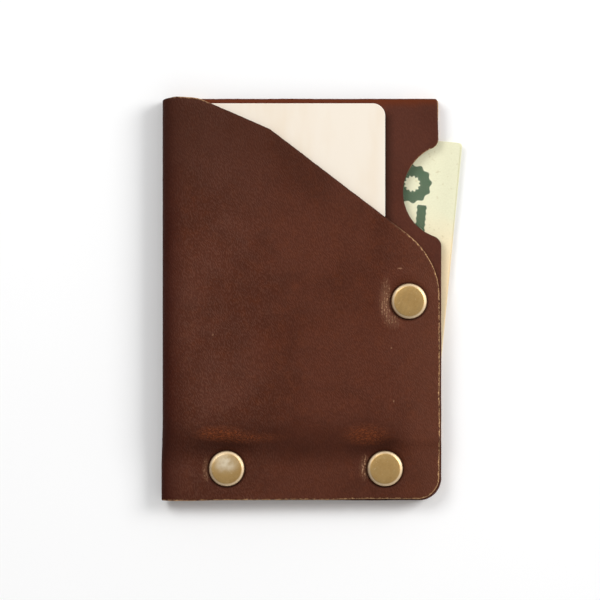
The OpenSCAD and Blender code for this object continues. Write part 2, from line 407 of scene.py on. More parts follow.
def front_face(x, y, outside):
    """Height of the front panel's outer face, if outside is 1, or of its inner face, if it is 0."""
    low, run = OUTER_RAMP if outside else INNER_RAMP
    rise = smooth((y - low) / run)
    step_x, step_run = OUTER_STEP if outside else INNER_STEP
    step = smooth((x - step_x) / step_run)
    foot = FOOT_FRONT_Z + LEATHER * outside
    edge = foot + (DIVIDER_Z + LEATHER - FOOT_FRONT_Z) * open_at(y)
    face = foot + (FRONT_Z - FOOT_FRONT_Z) * rise
    face += (edge - face) * step
    for spot in front_rivets:
        away = off_cap(spot, x, y) - SEAT_MARGIN
        held = spot["front_seat"] + SINK - LEATHER * (1 - outside)
        face = held + (face - held) * smooth(away / PULL_RUN[spot["name"]][0 if outside else 1])
        face -= outside * SINK * (1 - smooth(away / SINK_RUN))
    return face


def section(y):
    """The wrap at height y: its back and front outer faces, its fold's radius and the fold's centre."""
    opened = smooth((y - OUTER_RAMP[0]) / OUTER_RAMP[1])
    back = FOOT_BACK_Z * (1 - open_at(y - BACK_DELAY))
    front = FOOT_FRONT_Z + LEATHER + (FRONT_Z - FOOT_FRONT_Z) * opened
    r = FOOT_FOLD_R + (FOLD_R - FOOT_FOLD_R) * opened
    return back, front, r, LEFT - SPINE_SPREAD * (1 - opened) + r


def dented(outer, x, y, rivets, seat):
    """The outer face, pulled to each rivet's seat."""
    for spot in rivets:
        away = off_cap(spot, x, y) - SEAT_MARGIN
        outer = spot[seat] + (outer - spot[seat]) * smooth(away / SINK_RUN)
    return outer


def calm(x, y, rivets):
    """0 at a rivet and 1 well away from all of them."""
    nearest = min(off_cap(spot, x, y) for spot in rivets)
    return smooth((nearest - CALM_REACH) / CALM_RUN)


def swell(x, y, seed):
    """The soft unevenness of a hide, from about -1 to 1."""
    broad = noise.noise(Vector((x * 0.045, y * 0.045, seed)))
    return broad + 0.35 * noise.noise(Vector((x * 0.14, y * 0.14, seed + 5)))


# The pocket mouth: two slopes, each from its own x, and a round shoulder
MOUTH_X1 = LEFT + 8.5
MOUTH_X2 = MOUTH_X1 + 19.0
MOUTH_SLOPE_1 = math.tan(math.radians(22.3))
MOUTH_SLOPE_2 = math.tan(math.radians(37.4))
MOUTH_Y2 = TOP - (MOUTH_X2 - MOUTH_X1) * MOUTH_SLOPE_1
SHOULDER_R = 20.5


def mouth_y(x):
    """Height of the pocket mouth's line at x."""
    if x < MOUTH_X2:
        return TOP - max(0.0, x - MOUTH_X1) * MOUTH_SLOPE_1
    return MOUTH_Y2 - (x - MOUTH_X2) * MOUTH_SLOPE_2


def mouth_lift(x, y):
    """How far the front gapes along the middle of the pocket mouth."""
    near = 1 - smooth((mouth_y(x) - y) / MOUTH_LIFT_RUN)
    (left, left_run), (right, right_run) = MOUTH_LIFT_LEFT, MOUTH_LIFT_RIGHT
    return MOUTH_LIFT * near * smooth((x - left) / left_run) * smooth((right - x) / right_run)


def panel_x(away, fold_x):
    """x at a distance from the fold on either panel. The fold itself lies further out in the foot."""
    return FOLD_X + away + (fold_x - FOLD_X) * (1 - smooth(away / FOLD_EASE))


def wrap_place(u, y, h):
    """u runs from the fold to the front's open edge, and below 0 round the fold to the back's."""
    back, front, r, fold_x = section(y)
    half = LEATHER / 2
    outside = (h / half + 1) / 2
    if u >= 0:
        x = panel_x(u, fold_x)
        outer, inner = front_face(x, y, 1), front_face(x, y, 0)
        blend = smooth(u / FOLD_BLEND)
        outer += SWELL * swell(x, y, 1.0) * calm(x, y, front_rivets) * blend
        outer -= FOLD_SINK * (1 - blend)
        return x, y, inner + mouth_lift(x, y) + (outer - inner) * outside
    if u <= -SPINE_LENGTH:
        x = panel_x(-(u + SPINE_LENGTH), fold_x)
        outer = dented(back, x, y, foot_rivets, "back_seat")
        outer += BACK_SWELL * (1 + swell(x, y, 7.0)) * calm(x, y, foot_rivets) * open_at(y - 2)
        return x, y, back + half - h + (outer - back) * outside
    share = -u / SPINE_LENGTH
    middle = r - half
    straight = front - back - 2 * r
    at = share * (math.pi * middle + straight)
    reach = middle + h - FOLD_SINK * (1 - smooth(share / FOLD_SINK_SHARE)) * outside
    quarter = math.pi * middle / 2
    if at < quarter:
        angle, z = math.pi / 2 + at / middle, front - r
    elif at < quarter + straight:
        angle, z = math.pi, front - r - (at - quarter)
    else:
        angle, z = math.pi + (at - quarter - straight) / middle, back + r
    return fold_x + reach * math.cos(angle), y, z + reach * math.sin(angle)


# Spacings of the mesh inside a panel, and its steps round the spine
FINE_GRID = 1.05
COARSE_GRID = 1.4
SPINE_STEPS = 16


def leather_wrap():
    """The front panel, the spine fold and the back panel: one piece of leather."""
    back_x = -SPINE_LENGTH - (RIGHT - FOLD_X)
    front_x = FRONT_RIGHT - FOLD_X

    # From the back panel's bottom corner round to its top
    edge = outline([
        (back_x, BOTTOM, CORNER_R),
        (-SPINE_LENGTH, BOTTOM, 0),
        (0, BOTTOM - 0.1, 0),
        (front_x, FRONT_BOTTOM, CORNER_R),
        (front_x, mouth_y(FRONT_RIGHT), SHOULDER_R),
        (MOUTH_X2 - FOLD_X, MOUTH_Y2, 6),
        (MOUTH_X1 - FOLD_X + 0.6, TOP + 0.3, 11),
        (0.3, TOP + 0.55, 3),
        (-SPINE_LENGTH / 2, TOP - 0.35, 2.5),
        (-SPINE_LENGTH, TOP, 2),
        (back_x + 0.8, TOP, 1),
    ])

    edge = hand_cut(resample(edge, EDGE_SPACING), amount=0.14, seed=3.0)
    front = [(spot["x"] - FOLD_X, spot["y"]) for spot in front_rivets]
    back = [(-SPINE_LENGTH - (spot["x"] - FOLD_X), spot["y"]) for spot in foot_rivets]
    ramp = [(FOOT_Y - 0.4, FOOT_Y + FOOT_RUN + BACK_DELAY)]
    ys = lines(BOTTOM, TOP + 1, FINE_GRID, ramp)
    step = [(STEP_X - FOLD_X, STEP_X - FOLD_X + STEP_RUN)]
    spine = [-SPINE_LENGTH * i / SPINE_STEPS for i in range(SPINE_STEPS + 1)]
    fill = grid_with_rings(lines(EDGE_SPACING, front_x, FINE_GRID, step), ys, front)
    back_us = [-SPINE_LENGTH - x for x in lines(EDGE_SPACING, -back_x, COARSE_GRID)]
    fill += grid_with_rings(back_us, ys, back)
    fill += [(u, y) for u in spine for y in ys]
    holes = [circle(u, v, TUBE_HOLE_R) for u, v in front + back]
    return sheet("leather_wrap_hide", [edge] + holes, fill, wrap_place, LEATHER,
                 edge_r=0.4, roughness=0.07)


# The thumb notch, a round cut that eases into the open edge
NOTCH = {"x": RIGHT + 2.2, "y": 27.5, "r": 12.0, "ease": 2.8}

# Above the notch the open edge leans in: how far, over what height, and over what width
LEAN = 1.1
LEAN_RUN = 24.0
LEAN_WIDTH = 8.0


def divider_place(x, y, h):
    """The divider, flat in the pockets and lower in the foot."""
    half = LEATHER / 2
    under = FOOT_DIVIDER_Z + (DIVIDER_Z - FOOT_DIVIDER_Z) * open_at(y)
    inner = dented(under, x, y, (side_rivet,), "back_seat")
    return x, y, under + half + h + (inner - under) * (1 - h / half) / 2


def divider():
    """The panel between the two pockets."""
    left = LEFT + 2.5
    ease_x = RIGHT - NOTCH["ease"]
    reach = math.sqrt((NOTCH["r"] + NOTCH["ease"]) ** 2 - (NOTCH["x"] - ease_x) ** 2)
    turn = math.atan2(reach, NOTCH["x"] - ease_x)
    below = outline([(left, BOTTOM, 0.8), (RIGHT, BOTTOM, CORNER_R), (RIGHT, -20, 0)])
    edge = below[:-1] + arc(ease_x, NOTCH["y"] - reach, NOTCH["ease"], 0, turn)
    edge += arc(NOTCH["x"], NOTCH["y"], NOTCH["r"], math.pi + turn, math.pi - turn)
    edge += arc(ease_x, NOTCH["y"] + reach, NOTCH["ease"], -turn, 0)
    edge += rounded((RIGHT, NOTCH["y"]), (RIGHT, TOP), (left, TOP), 0.5)
    edge += rounded((RIGHT, TOP), (left, TOP), (left, BOTTOM), 0.8)
    edge = [(x - LEAN * smooth((y - NOTCH["y"]) / LEAN_RUN) * smooth((x - RIGHT) / LEAN_WIDTH + 1), y)
            for x, y in edge]
    edge = hand_cut(resample(edge, EDGE_SPACING), amount=0.1, seed=14.0)
    rivets = [(spot["x"], spot["y"]) for spot in front_rivets]
    ys = lines(BOTTOM, TOP, COARSE_GRID, [(FOOT_Y - 0.2, FOOT_Y + FOOT_RUN)])
    fill = grid_with_rings(lines(left, RIGHT, COARSE_GRID), ys, rivets)
    holes = [circle(x, y, TUBE_HOLE_R) for x, y in rivets]
    return sheet("divider_hide", [edge] + holes, fill, divider_place, LEATHER,
                 edge_r=0.28, roughness=0.06)


# ---- Rivets ----

CAP_STEPS = 96


def lathe(name, profile, spot, seat, up, tilt=(0.0, 0.0)):
    """Turns a closed profile of (radius, height, share of painted reflection on the rim) about a rivet's
    axis.

    up is 1 for a front cap and -1 for a back one. tilt leans the part above the seat.
    """
    vertices, rows, rim = [], [], []
    # worn is a point's share of the painted pale reflection on the rim.
    for r, z, worn in profile:
        if r < 1e-6:
            rows.append([len(vertices)] * CAP_STEPS)
            ring = [0.0]
        else:
            rows.append(list(range(len(vertices), len(vertices) + CAP_STEPS)))
            ring = [2 * math.pi * i / CAP_STEPS for i in range(CAP_STEPS)]
        for a in ring:
            x, y = r * math.cos(a), r * math.sin(a)
            lean = (tilt[0] * x + tilt[1] * y) * min(1, z)
            vertices.append((spot["x"] + x, spot["y"] + y, seat + up * (z + lean)))
            rim.append(worn)
    faces = []
    for inner, outer in zip(rows, rows[1:] + rows[:1]):
        for i in range(CAP_STEPS):
            j = (i + 1) % CAP_STEPS
            face = [inner[i], outer[i], outer[j], inner[j]]
            face = [v for k, v in enumerate(face) if v not in face[:k]]
            if len(face) > 2:
                faces.append(face if up > 0 else face[::-1])
    return make_mesh(name, vertices, faces, {"rim": rim})


def cap_profile(r, h):
    """A pressed cap: a nearly flat face, a fine groove, a bevelled rim and a lip rolled under."""
    face_r, metal = r - 0.8, 0.28
    face = [(0, h, 0), (face_r * 0.5, h - 0.01, 0), (face_r - 0.1, h - 0.03, 0), (face_r, h - 0.05, 0)]
    bevel = [(face_r + 0.08, h - 0.08, 0.2), (face_r + 0.28, h - 0.17, 0.8), (r - 0.3, h - 0.3, 1),
             (r - 0.14, h - 0.43, 0.9), (r - 0.04, h - 0.6, 0.4)]
    lip = [(r, h - 0.82, 0), (r, 0.16, 0), (r - 0.05, 0.05, 0), (r - 0.16, 0.0, 0), (r - 0.9, 0.0, 0)]
    inner = [(r - 0.9, 0.18, 0), (r - metal, 0.2, 0), (r - metal, h - 0.95, 0),
             (r - 0.6, h - 0.55, 0), (face_r - 0.2, h - 0.34, 0), (0, h - 0.3, 0)]
    return face + bevel + lip + inner


def rivet_caps(spot, tilt):
    """The front and back caps of one rivet. The front one is pressed on a little askew."""
    name = spot["name"]
    front = cap_profile(spot["r"], spot["front_top"] - spot["front_seat"])
    back = cap_profile(spot["r"], spot["back_seat"] - spot["back_top"])
    return (lathe(name + "_front_cap_shell", front, spot, spot["front_seat"], 1, tilt),
            lathe(name + "_back_cap_shell", back, spot, spot["back_seat"], -1))


# ---- Card and note ----

CARD_R = 3.18
CARD_GRID = 4


def card_place(x, y, h):
    """The card lies flat."""
    return x, y, (card_low.z + card_high.z) / 2 + h


def card_blank():
    """The card, with softly broken edges."""
    edge = rectangle(card_low.x, card_low.y, card_high.x, card_high.y, CARD_R)
    xs = lines(card_low.x + 1, card_high.x, CARD_GRID)
    ys = lines(card_low.y + 1, card_high.y, CARD_GRID)
    fill = [(x, y) for x in xs for y in ys]
    thickness = card_high.z - card_low.z
    return sheet("blank_card", [resample(edge, 2)], fill, card_place, thickness, edge_r=0.1, wall_rows=1)


# The note's leaves, the fold between them, and how far the back leaf is out of line at its free end
NOTE_LEAF = 0.11
NOTE_FOLD_R = 0.105
NOTE_MIDDLE = (note_low.z + note_high.z) / 2
NOTE_SKEW = 0.5
NOTE_GRID = 2.2

# The right-hand border curls up: from where, over what width, from what height, and how far on each leaf
CURL_X = 61
CURL_RUN = 6
CURL_RISE = 20
FRONT_CURL = 0.32
BACK_CURL = 0.08
CURL_RIPPLE = 0.18


def note_place(a, s, h):
    """a runs across the note and s along it from the fold.

    s runs up the front leaf, and below 0 up the back leaf.
    """
    quarter = math.pi * NOTE_FOLD_R / 2
    if abs(s) < quarter:
        angle = math.pi - s / NOTE_FOLD_R
        along = NOTE_FOLD_R + (NOTE_FOLD_R + h) * math.cos(angle)
        z = NOTE_MIDDLE + (NOTE_FOLD_R + h) * math.sin(angle)
    else:
        along = NOTE_FOLD_R + abs(s) - quarter
        z = NOTE_MIDDLE + math.copysign(NOTE_FOLD_R + h, s)
    across = a + (NOTE_SKEW * along / NOTE_L if s < 0 else 0)
    curl = smooth((a - CURL_X) / CURL_RUN) * smooth(along / CURL_RISE)
    ripple = CURL_RIPPLE * noise.noise(Vector((a * 0.09, along * 0.05, 4.0)))
    z += curl * ((FRONT_CURL if s > 0 else BACK_CURL) + ripple)
    x, y = across - NOTE_W, along - NOTE_L
    c, t = math.cos(NOTE_TILT), math.sin(NOTE_TILT)
    return NOTE_CORNER.x + x * c + y * t, NOTE_CORNER.y - x * t + y * c, z


def note_sheet():
    """The banknote, folded once across its middle."""
    edge = rectangle(0, -NOTE_L, NOTE_W, NOTE_L, 0.9)
    across = lines(0.5, NOTE_W, NOTE_GRID, [(60, NOTE_W)], 0.9)
    along = lines(2.0, NOTE_L, NOTE_GRID)
    fold = [-0.5, -0.25, -0.165, -0.11, -0.055, 0, 0.055, 0.11, 0.165, 0.25, 0.5, -1.1, 1.1]
    fill = [(a, s) for a in across for s in [-v for v in along] + fold + along]
    return sheet("folded_note", [resample(edge, 1.2)], fill, note_place, NOTE_LEAF,
                 edge_r=0.04, wall_rows=1)


# ---- Materials ----

def srgb(*channels):
    """An 8-bit screen colour as a linear one."""
    def linear(c):
        return c / 12.92 if c <= 0.04045 else ((c + 0.055) / 1.055) ** 2.4

    return tuple(linear(channel / 255) for channel in channels) + (1,)


class Nodes:
    """A material and short ways to build its nodes. Coordinates are in millimetres."""

    def __init__(self, name, **surface):
        self.material = bpy.data.materials.new(name)
        self.material.use_nodes = True
        self.tree = self.material.node_tree
        self.shader = self.tree.nodes["Principled BSDF"]
        for key, value in surface.items():
            self.shader.inputs[key.replace("_", " ")].default_value = value
        place = self.add("ShaderNodeTexCoord").outputs["Object"]
        self.mm = self.vector("SCALE", place, scale=1 / MM)

    def add(self, kind, inputs=(), **settings):
        node = self.tree.nodes.new(kind)
        for key, value in settings.items():
            setattr(node, key, value)
        for key, value in dict(inputs).items():
            self.feed(node.inputs[key], value)
        return node

    def feed(self, socket, value):
        if isinstance(value, bpy.types.NodeSocket):
            self.tree.links.new(value, socket)
        else:
            socket.default_value = value

    def vector(self, operation, a, b=(0, 0, 0), scale=None):
        inputs = {0: a, 1: b} if scale is None else {0: a, "Scale": scale}
        node = self.add("ShaderNodeVectorMath", inputs, operation=operation)
        return node.outputs["Value" if operation in ("LENGTH", "DOT_PRODUCT") else "Vector"]

    def math(self, operation, *values):
        return self.add("ShaderNodeMath", dict(enumerate(values)), operation=operation).outputs[0]

    def chain(self, operation, values):
        total = values[0]
        for value in values[1:]:
            total = self.math(operation, total, value)
        return total

    def times(self, *values):
        return self.chain("MULTIPLY", values)

    def plus(self, *values):
        return self.chain("ADD", values)

    def most(self, *values):
        return self.chain("MAXIMUM", values)

    def times_plus(self, a, b, c):
        """a times b, plus c."""
        return self.math("MULTIPLY_ADD", a, b, c)

    def between(self, value, low, high, to_low=0.0, to_high=1.0):
        """value, mapped smoothly from low..high onto to_low..to_high."""
        inputs = {"Value": value, "From Min": low, "From Max": high, "To Min": to_low, "To Max": to_high}
        return self.add("ShaderNodeMapRange", inputs, interpolation_type="SMOOTHSTEP").outputs["Result"]

    def noise(self, scale, detail=3.0, roughness=0.55, at=None):
        inputs = {"Vector": at or self.mm, "Scale": scale, "Detail": detail, "Roughness": roughness}
        return self.add("ShaderNodeTexNoise", inputs).outputs["Fac"]

    def cells(self, scale, smoothness=0.5, at=None):
        """Distance from the middles of soft cells."""
        inputs = {"Vector": at or self.mm, "Scale": scale, "Smoothness": smoothness}
        return self.add("ShaderNodeTexVoronoi", inputs, feature="SMOOTH_F1").outputs["Distance"]

    def mapped(self, rotation=(0, 0, 0), scale=(1, 1, 1), at=None, location=(0, 0, 0)):
        inputs = {"Vector": at or self.mm, "Location": location, "Rotation": rotation, "Scale": scale}
        return self.add("ShaderNodeMapping", inputs).outputs["Vector"]

    def stretched(self, angle, across, along, at=None):
        """Coordinates for a texture drawn out along a direction in the wallet's plane."""
        turned = self.mapped((0, 0, -math.radians(angle)), at=at)
        return self.mapped(scale=(along, across, across), at=turned)

    def shaken(self, scale, amount):
        """Coordinates pushed about by a noise."""
        push = self.add("ShaderNodeTexNoise", {"Vector": self.mm, "Scale": scale, "Detail": 3.0})
        return self.vector("ADD", self.mm, self.vector("SCALE", push.outputs["Color"], scale=amount))

    def mix(self, factor, a, b, blend="MIX"):
        inputs = {"Factor": factor, "A": a, "B": b}
        return self.add("ShaderNodeMix", inputs, data_type="RGBA", blend_type=blend).outputs["Result"]

    def attribute(self, name):
        return self.add("ShaderNodeAttribute", attribute_name=name).outputs["Fac"]

    def axes(self, at=None):
        return self.add("ShaderNodeSeparateXYZ", {"Vector": at or self.mm}).outputs

    def distance(self, x, y):
        """Distance in the wallet's plane from a point."""
        flat = self.vector("MULTIPLY", self.mm, (1, 1, 0))
        return self.vector("LENGTH", self.vector("SUBTRACT", flat, (x, y, 0)))

    def ellipse(self, x, y, across, along):
        """1 at a point, falling to 0 on an ellipse round it."""
        flat = self.vector("SUBTRACT", self.mm, (x, y, 0))
        flat = self.vector("MULTIPLY", flat, (1 / across, 1 / along, 0))
        return self.between(self.vector("LENGTH", flat), 0.15, 1.0, 1.0, 0.0)

    def bump(self, height, depth_mm, strength):
        inputs = {"Height": height, "Distance": depth_mm * MM, "Strength": strength}
        return self.add("ShaderNodeBump", inputs).outputs["Normal"]

    def finish(self, **sockets):
        for key, value in sockets.items():
            self.feed(self.shader.inputs[key.replace("_", " ")], value)
        return self.material


DEEP_BROWN = srgb(74, 33.5, 18.6)
MID_BROWN = srgb(83, 38, 21.6)
RUST = srgb(92, 42, 18.5)
WAX_BLOOM_AND_SHEEN = srgb(94, 62, 52)
GRAIN_HIGHLIGHT = srgb(124, 92, 78)
FOLD_SHADE = srgb(52, 11, 2)
DARKER_BROWN = srgb(58, 27, 16)
BURNISHED_EDGE = srgb(44, 19, 10)
RAW_DARK = srgb(112, 70, 42)
RAW_PALE = srgb(206, 166, 120)


def leather(name, worn):
    """Brown pull-up leather: wavy slanting grain, mottling, painted sheen and grain highlights, painted
    shade at the fold, and a raw edge. worn adds the marks of use and painted light and shade.
    """
    n = Nodes(name, Specular_IOR_Level=0.14, Specular_Tint=(1.0, 0.87, 0.76, 1.0))
    at = n.axes()
    bent = n.shaken(0.1, 2.4)
    ridges = n.between(n.noise(1.0, 0.0, 0.5, n.stretched(110, 3.9, 1.5, bent)), 0.32, 0.68)
    fine = n.noise(3.4, 3.0, 0.6)
    pebble = n.cells(1.3, 0.8, bent)
    bold = n.between(n.times_plus(n.noise(0.06, 2.0), 30.0, at["X"]), -12.0, 16.0, 1.0, 0.7)
    height = n.plus(n.times(ridges, 0.42, bold), n.times(fine, 0.35), n.times(pebble, 0.12))

    mottle = n.noise(0.07, 5.0, 0.58)
    colour = n.mix(n.between(mottle, 0.38, 0.62), DEEP_BROWN, MID_BROWN)
    rust = n.between(n.noise(0.35, 5.0, 0.68, bent), 0.46, 0.68, 0.0, 0.36)
    colour = n.mix(rust, colour, RUST)
    # Pale neutral patches, stronger at the left: partly the wax bloom of pull-up leather, partly painted
    # sheen.
    bloom_and_sheen = n.between(n.noise(0.07, 2.5, 0.5, bent), 0.36, 0.64, 0.0, 0.22)
    colour = n.mix(n.times(bloom_and_sheen, n.between(bold, 0.6, 1.0, 0.4, 1.0)), colour, WAX_BLOOM_AND_SHEEN)
    shade = n.times(n.between(ridges, 0.0, 1.0, 0.93, 1.07), n.between(fine, 0.3, 0.7, 0.93, 1.07))
    colour = n.mix(1.0, colour, shade, "MULTIPLY")
    # Painted highlights on the tips of the grain's ridges, strongest at the left.
    grain_highlights = n.between(ridges, 0.7, 1.0, 0.0, 0.13)
    colour = n.mix(n.times(grain_highlights, n.between(bold, 0.6, 1.0, 0.25, 1.0)), colour, GRAIN_HIGHLIGHT)

    drift_x = n.times_plus(mottle, 2.0, at["X"])
    drift_y = n.times_plus(mottle, 2.0, at["Y"])
    # Painted shade: the hide darkens towards the spine fold. The same mask also makes it a little rougher
    # there.
    fold = n.between(drift_x, LEFT + 0.8, LEFT + 8.5, 0.92, 0.0)
    colour = n.mix(fold, colour, FOLD_SHADE)
    # Darker towards the top, most on the front panel, and a little darker towards the foot.
    upper = n.between(drift_y, 14.0, 50.0, 0.0, 0.55 if worn else 0.1)
    colour = n.mix(upper, colour, DARKER_BROWN)
    lower = n.between(drift_y, -46.0, -36.0, 0.16, 0.0)
    colour = n.mix(lower, colour, DARKER_BROWN)
    rough = n.times_plus(fold, 0.2, n.between(fine, 0.3, 0.7, 0.44, 0.56))

    if worn:
        colour, height = wear_and_painted_light(n, colour, height)
        bared = n.most(n.between(at["X"], 22.0, 29.0), n.between(at["Y"], -49.0, -45.0, 1.0, 0.0),
                       n.ellipse(-28.3, 51.1, 7.5, 2.6))
    else:
        colour = pocket_colour_and_shadow(n, colour, mottle)
        height = n.times(height, 0.5)
        bared = n.ellipse(NOTCH["x"] - 5.5, NOTCH["y"] + 9.0, 9.0, 8.0)
    colour, raw = raw_edge(n, colour, bared)
    return n.finish(Base_Color=colour, Roughness=n.most(rough, n.times(raw, 0.85)),
                    Normal=n.bump(height, 0.15, 1.0))


def pocket_colour_and_shadow(n, colour, mottle):
    """The divider's own colour, its orange top strip, partly painted highlight, and a painted shadow
    beside the card.
    """
    at = n.axes()
    colour = n.mix(0.4, colour, srgb(83, 46, 38))
    # An orange strip along the top: partly the pull-up colour where the hide bends, partly painted
    # highlight of a curved top edge.
    strip = n.between(n.times_plus(mottle, 1.5, at["Y"]), TOP - 2.0, TOP + 0.9, 0.0, 0.85)
    colour = n.mix(strip, colour, srgb(100, 42, 14))
    # pressed is a painted shadow on the divider beside the card's right edge, darkest at the edge and
    # fading out over 3 mm to the right.
    pressed = n.times(n.between(at["X"], card_high.x - 0.8, card_high.x - 0.3),
                      n.between(at["X"], card_high.x - 0.4, card_high.x + 3.0, 0.8, 0.0),
                      n.between(at["Y"], card_high.y - 4.0, card_high.y - 1.0, 1.0, 0.0))
    return n.mix(pressed, colour, srgb(30, 9, 3))


def raw_edge(n, colour, bared):
    """The cut edge, dark with pale fibre where bared is 1. Gives the colour and how raw it is."""
    edge = n.attribute("edge")
    fibre = n.noise(2.2, 4.0, 0.7, n.mapped(scale=(1, 1, 2.5)))
    chips = n.times(n.plus(n.noise(1.1, 5.0, 0.75), -0.5), 3.4)
    corner = n.times(n.between(n.plus(edge, chips), 0.3, 0.6), bared, n.between(edge, 0.02, 0.2))
    wall = n.times(n.between(edge, 0.92, 1.0), n.times_plus(bared, 0.45, 0.2))
    raw = n.most(corner, wall)
    colour = n.mix(n.between(edge, 0.1, 0.6, 0.0, 0.5), colour, BURNISHED_EDGE)
    return n.mix(raw, colour, n.mix(n.between(fibre, 0.35, 0.7), RAW_DARK, RAW_PALE)), raw


# Marks on the front: x, y, half width, half height and strength
CREASES = (
    (left_rivet["x"] - 1.8, FOOT_Y + 4.6, 8.5, 2.6, 0.8),
    (left_rivet["x"] + 4.5, FOOT_Y + 3.4, 13.0, 2.0, 0.5),
    (right_rivet["x"] - 4.8, FOOT_Y + 4.2, 8.2, 3.6, 0.75),
)
WRINKLES = (
    (side_rivet["x"] - side_rivet["r"] - 1.4, side_rivet["y"] + 0.2, 2.1, 6.8, 0.85),
    (side_rivet["x"] - side_rivet["r"] + 0.3, side_rivet["y"] - 5.0, 2.8, 2.8, 0.4),
    (left_rivet["x"] - left_rivet["r"] - 0.6, left_rivet["y"] - 0.2, 1.4, 3.8, 0.8),
    (right_rivet["x"] - right_rivet["r"] - 0.6, right_rivet["y"] + 0.2, 1.8, 4.0, 0.8),
)
SCRATCHES = (
    (25.1, 8.0, 0.9, 0.28, 0.5), (22.9, -12.4, 0.3, 0.3, 0.5),
    (23.5, -26.0, 0.25, 0.45, 0.5), (-22.8, -9.0, 0.25, 0.35, 0.5),
)
TORN_FIBRES = srgb(128, 62, 30)
WRINKLE_HIGHLIGHT = srgb(196, 152, 116)
CAP_SHADOW = srgb(34, 13, 7)
SCRATCH_PALE = srgb(176, 132, 100)


def wear_and_painted_light(n, colour, height):
    """Marks of use: creases, wrinkles and scratches, with painted light and shade: a dark band on the
    slope into the foot, pale highlights on the wrinkles, a shadow ring round the caps and a lighter right
    side.
    """
    at = n.axes()
    front = n.between(at["Z"], DIVIDER_Z - 0.6, DIVIDER_Z)

    def patch_at(x, y, across, along):
        return n.times(n.ellipse(x, y, across, along), front)

    # Painted shade: a dark band where the front slopes down into the foot, stronger near the bottom
    # rivets and fading towards the right edge.
    above = n.plus(n.times_plus(n.noise(0.09, 2.0), 3.0, at["Y"]), -FOOT_Y - 2.8)
    slope_shade = n.times(n.between(above, -7.0, 0.0), n.between(above, 0.0, 11.0, 1.0, 0.0))
    held = n.most(*[n.ellipse(spot["x"] - 1.5, FOOT_Y + 1.0, 11.0, 6.0) for spot in foot_rivets])
    fade = n.between(at["X"], right_rivet["x"] - 1.0, RIGHT - 6.0, 1.0, 0.12)
    colour = n.mix(n.times(slope_shade, n.times_plus(held, 0.3, 0.5), fade), colour, srgb(44, 15, 6))

    # Orange fibres show in the creases above the bottom rivets
    strokes = n.noise(1.0, 3.0, 0.6, n.stretched(6, 3.8, 1.2, n.shaken(0.6, 1.6)))
    strokes = n.between(strokes, 0.44, 0.62)
    for *place, strength in CREASES:
        patch = patch_at(*place)
        torn = n.times(patch, n.between(strokes, 0.0, 1.0, 0.25, 1.0), strength)
        colour = n.mix(torn, colour, TORN_FIBRES)
        height = n.times_plus(n.times(patch, strokes), 0.6, height)

    # Fine wrinkles stand to the left of each rivet, with a painted pale highlight on them
    sway = n.times(n.noise(0.5, 3.0, 0.6), 14.0)
    strand = n.between(n.math("SINE", n.times_plus(at["X"], 9.0, sway)), -0.5, 0.9)
    strand = n.times(strand, n.between(n.noise(1.5, 3.0, 0.65), 0.42, 0.62))
    for *place, strength in WRINKLES:
        patch = patch_at(*place)
        highlight = n.times(patch, n.between(strand, 0.0, 1.0, 0.13, 1.0), strength)
        colour = n.mix(highlight, colour, WRINKLE_HIGHLIGHT)
        height = n.times_plus(n.times(patch, strand), 0.9, height)

    # Painted shadow: a dark ring round the foot's caps on both faces, and round the side cap on the front
    # only
    for spot, faces in ((left_rivet, 1.0), (right_rivet, 1.0), (side_rivet, front)):
        ring = n.between(n.distance(spot["x"], spot["y"]), spot["r"] + 0.1, spot["r"] + 0.6, 0.75, 0.0)
        colour = n.mix(n.times(ring, faces), colour, CAP_SHADOW)
    # Painted light: the front grows lighter towards its right edge.
    right_side_light = n.between(at["X"], 22.0, RIGHT + 4, 0.0, 0.3)
    colour = n.mix(right_side_light, colour, srgb(112, 68, 50))
    for *place, strength in SCRATCHES:
        colour = n.mix(n.times(patch_at(*place), strength), colour, SCRATCH_PALE)
    return colour, height


def brass(name, colour, dark, roughness, highlight_spots=()):
    """Plated brass with a brown patina and fine brushing, and a painted pale reflection on the rim.
    highlight_spots lists spots (x, y) given a painted pale highlight.
    """
    n = Nodes(name, Metallic=1.0)
    rim = n.attribute("rim")
    cloud = n.noise(0.5, 4.0, 0.6)
    specks = n.between(n.noise(3.2, 3.0, 0.7), 0.58, 0.72, 0.0, 0.4)
    base = n.mix(n.plus(n.between(cloud, 0.35, 0.75, 0.0, 0.4), specks), colour, dark)
    # Painted highlight: a pale patch on the cap's face at each spot.
    for x, y in highlight_spots:
        patchy = n.between(n.noise(0.5, 2.0, 0.5), 0.35, 0.65, 0.35, 1.0)
        base = n.mix(n.times(n.ellipse(x, y, 4.4, 3.6), patchy, 0.9), base, srgb(252, 236, 206))
    # Painted reflection: the bevelled rim is paler, as far as its rim attribute says.
    base = n.mix(n.times(rim, 0.8), base, srgb(243, 223, 192))
    flakes = n.noise(1.7, 3.0, 0.7, n.mapped(location=(7, 3, 0)))
    base = n.mix(n.between(flakes, 0.62, 0.72, 0.0, 0.5), base, srgb(244, 222, 180))
    brushed = n.noise(1.0, 3.0, 0.6, n.stretched(70, 9.0, 0.4))
    height = n.plus(n.times(brushed, 0.3), n.times(n.cells(1.1), 0.5))
    rough = n.plus(n.between(brushed, 0.3, 0.7, -0.05, 0.06),
                   n.between(cloud, 0.3, 0.7, roughness, roughness + 0.1), n.times(rim, 0.16))
    return n.finish(Base_Color=base, Roughness=rough, Normal=n.bump(height, 0.02, 0.5))


